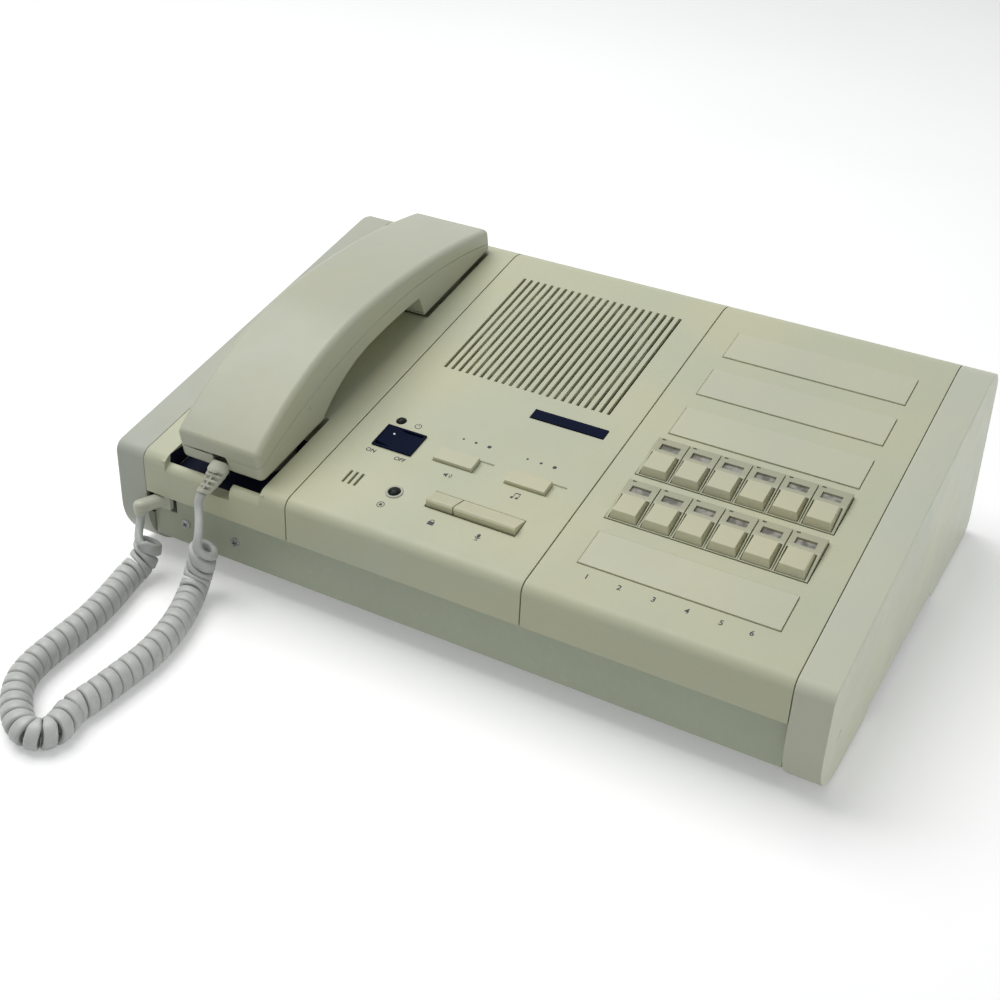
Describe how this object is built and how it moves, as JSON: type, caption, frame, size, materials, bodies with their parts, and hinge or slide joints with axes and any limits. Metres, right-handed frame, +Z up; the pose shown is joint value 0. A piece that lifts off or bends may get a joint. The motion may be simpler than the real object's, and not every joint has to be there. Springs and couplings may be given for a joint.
{
  "type": "intercom console",
  "caption": "Sloped desk intercom with a corded handset on its left, a slotted loudspeaker grille in the middle and rows of selector keys with name strips on its right.",
  "frame": {"origin": "middle of the footprint, on the table under the rubber feet, the cord left out", "axes": "+X to the user's right along the front, +Y away from the user to the back, +Z up"},
  "size_m": [0.365, 0.3941, 0.1253],
  "materials": {
    "chassis_olive": "satin paint",
    "cap_plastic": "fine texture",
    "cover_plastic": "fine texture",
    "handset_plastic": "smooth",
    "cord_rubber": "satin",
    "key_cream": "smooth",
    "frame_cream": "smooth",
    "plate_cream": "smooth",
    "navy_plastic": "satin",
    "lamp_dark": "gloss",
    "bezel_grey": "satin",
    "screw_metal": "zinc plated",
    "foot_rubber": "matte",
    "inner_plastic": "satin",
    "speaker_steel": "zinc plated",
    "cone_paper": "matte",
    "circuit_board": "satin"
  },
  "bodies": {
    "console": {"chassis": "chassis_olive", "left_end_cap": "cap_plastic", "right_end_cap": "cap_plastic", "feet": "foot_rubber", "chassis_screws": "screw_metal", "line_inlet_bush": "foot_rubber", "cradle_cover": "cover_plastic", "hook_switch": "inner_plastic", "speaker_cover": "cover_plastic", "speaker_frame": "speaker_steel", "speaker_cone": "cone_paper", "speaker_magnet": "speaker_steel", "speaker_clamps": "screw_metal", "badge_plate": "navy_plastic", "power_switch_body": "navy_plastic", "power_led": "lamp_dark", "busy_led": "lamp_dark", "busy_led_bezel": "bezel_grey", "microphone_capsule": "inner_plastic", "slide_switch_bodies": "inner_plastic", "key_pivot_pin": "screw_metal", "front_board": "circuit_board", "lock_talk_switches": "inner_plastic", "selector_cover": "cover_plastic", "name_plates": "plate_cream", "key_frame_1": "frame_cream", "key_frame_2": "frame_cream", "lamp_lenses": "lamp_dark", "key_switches": "inner_plastic", "selector_board": "circuit_board", "main_board": "circuit_board", "board_spacers": "inner_plastic", "board_components": "inner_plastic", "terminal_block": "inner_plastic", "handset_jack": "inner_plastic", "cord_plug": "cord_rubber", "curly_cord": "cord_rubber"},
    "handset": {"handset_upper_shell": "handset_plastic", "handset_lower_shell": "handset_plastic", "handset_receiver": "inner_plastic", "handset_transmitter": "inner_plastic", "handset_strain_relief": "cord_rubber"},
    "hook_plunger": {"hook_plunger": "inner_plastic"},
    "power_rocker": {"power_rocker": "navy_plastic"},
    "voice_key": {"voice_key": "key_cream"},
    "tone_key": {"tone_key": "key_cream"},
    "lock_key": {"lock_key": "key_cream"},
    "talk_key": {"talk_key": "key_cream"},
    "selector_key_01": {"selector_key_01": "key_cream"},
    "selector_key_02": {"selector_key_02": "key_cream"},
    "selector_key_03": {"selector_key_03": "key_cream"},
    "selector_key_04": {"selector_key_04": "key_cream"},
    "selector_key_05": {"selector_key_05": "key_cream"},
    "selector_key_06": {"selector_key_06": "key_cream"},
    "selector_key_07": {"selector_key_07": "key_cream"},
    "selector_key_08": {"selector_key_08": "key_cream"},
    "selector_key_09": {"selector_key_09": "key_cream"},
    "selector_key_10": {"selector_key_10": "key_cream"},
    "selector_key_11": {"selector_key_11": "key_cream"},
    "selector_key_12": {"selector_key_12": "key_cream"}
  },
  "joints": [
    {"name": "handset_lift", "type": "slide", "parent": "console", "child": "handset", "axis": [0, -0.2079, 0.9781], "range_m": [0, 0.06]},
    {"name": "hook_plunger_rise", "type": "slide", "parent": "console", "child": "hook_plunger", "axis": [0, -0.2079, 0.9781], "range_m": [0, 0.004]},
    {"name": "selector_key_01_press", "type": "slide", "parent": "console", "child": "selector_key_01", "axis": [0, 0.2079, -0.9781], "range_m": [0, 0.002], "stiffness_N_per_m": 250, "springref_m": -0.0012},
    {"name": "selector_key_02_press", "type": "slide", "parent": "console", "child": "selector_key_02", "axis": [0, 0.2079, -0.9781], "range_m": [0, 0.002], "stiffness_N_per_m": 250, "springref_m": -0.0012},
    {"name": "selector_key_03_press", "type": "slide", "parent": "console", "child": "selector_key_03", "axis": [0, 0.2079, -0.9781], "range_m": [0, 0.002], "stiffness_N_per_m": 250, "springref_m": -0.0012},
    {"name": "selector_key_04_press", "type": "slide", "parent": "console", "child": "selector_key_04", "axis": [0, 0.2079, -0.9781], "range_m": [0, 0.002], "stiffness_N_per_m": 250, "springref_m": -0.0012},
    {"name": "selector_key_05_press", "type": "slide", "parent": "console", "child": "selector_key_05", "axis": [0, 0.2079, -0.9781], "range_m": [0, 0.002], "stiffness_N_per_m": 250, "springref_m": -0.0012},
    {"name": "selector_key_06_press", "type": "slide", "parent": "console", "child": "selector_key_06", "axis": [0, 0.2079, -0.9781], "range_m": [0, 0.002], "stiffness_N_per_m": 250, "springref_m": -0.0012},
    {"name": "selector_key_07_press", "type": "slide", "parent": "console", "child": "selector_key_07", "axis": [0, 0.2079, -0.9781], "range_m": [0, 0.002], "stiffness_N_per_m": 250, "springref_m": -0.0012},
    {"name": "selector_key_08_press", "type": "slide", "parent": "console", "child": "selector_key_08", "axis": [0, 0.2079, -0.9781], "range_m": [0, 0.002], "stiffness_N_per_m": 250, "springref_m": -0.0012},
    {"name": "selector_key_09_press", "type": "slide", "parent": "console", "child": "selector_key_09", "axis": [0, 0.2079, -0.9781], "range_m": [0, 0.002], "stiffness_N_per_m": 250, "springref_m": -0.0012},
    {"name": "selector_key_10_press", "type": "slide", "parent": "console", "child": "selector_key_10", "axis": [0, 0.2079, -0.9781], "range_m": [0, 0.002], "stiffness_N_per_m": 250, "springref_m": -0.0012},
    {"name": "selector_key_11_press", "type": "slide", "parent": "console", "child": "selector_key_11", "axis": [0, 0.2079, -0.9781], "range_m": [0, 0.002], "stiffness_N_per_m": 250, "springref_m": -0.0012},
    {"name": "selector_key_12_press", "type": "slide", "parent": "console", "child": "selector_key_12", "axis": [0, 0.2079, -0.9781], "range_m": [0, 0.002], "stiffness_N_per_m": 250, "springref_m": -0.0012},
    {"name": "power_rocker_swing", "type": "hinge", "parent": "console", "child": "power_rocker", "pos_m": [-0.0562, -0.06794, 0.073], "axis": [0, -0.9781, -0.2079], "range_deg": [0, 16]},
    {"name": "voice_slide", "type": "slide", "parent": "console", "child": "voice_key", "axis": [1, 0, 0], "range_m": [0, 0.007]},
    {"name": "tone_slide", "type": "slide", "parent": "console", "child": "tone_key", "axis": [1, 0, 0], "range_m": [0, 0.007]},
    {"name": "lock_key_press", "type": "hinge", "parent": "console", "child": "lock_key", "pos_m": [-0.0141, -0.07679, 0.06703], "axis": [1, 0, 0], "range_deg": [0, 5], "stiffness_Nm_per_rad": 0.03, "springref_deg": -5.73},
    {"name": "talk_key_press", "type": "hinge", "parent": "console", "child": "talk_key", "pos_m": [0.0092, -0.07679, 0.06703], "axis": [1, 0, 0], "range_deg": [0, 5], "stiffness_Nm_per_rad": 0.05, "springref_deg": -5.73}
  ],
  "couplings": [
    {"joint": "hook_plunger_rise", "follows": "handset_lift", "ratio": 0.0666}
  ]
}
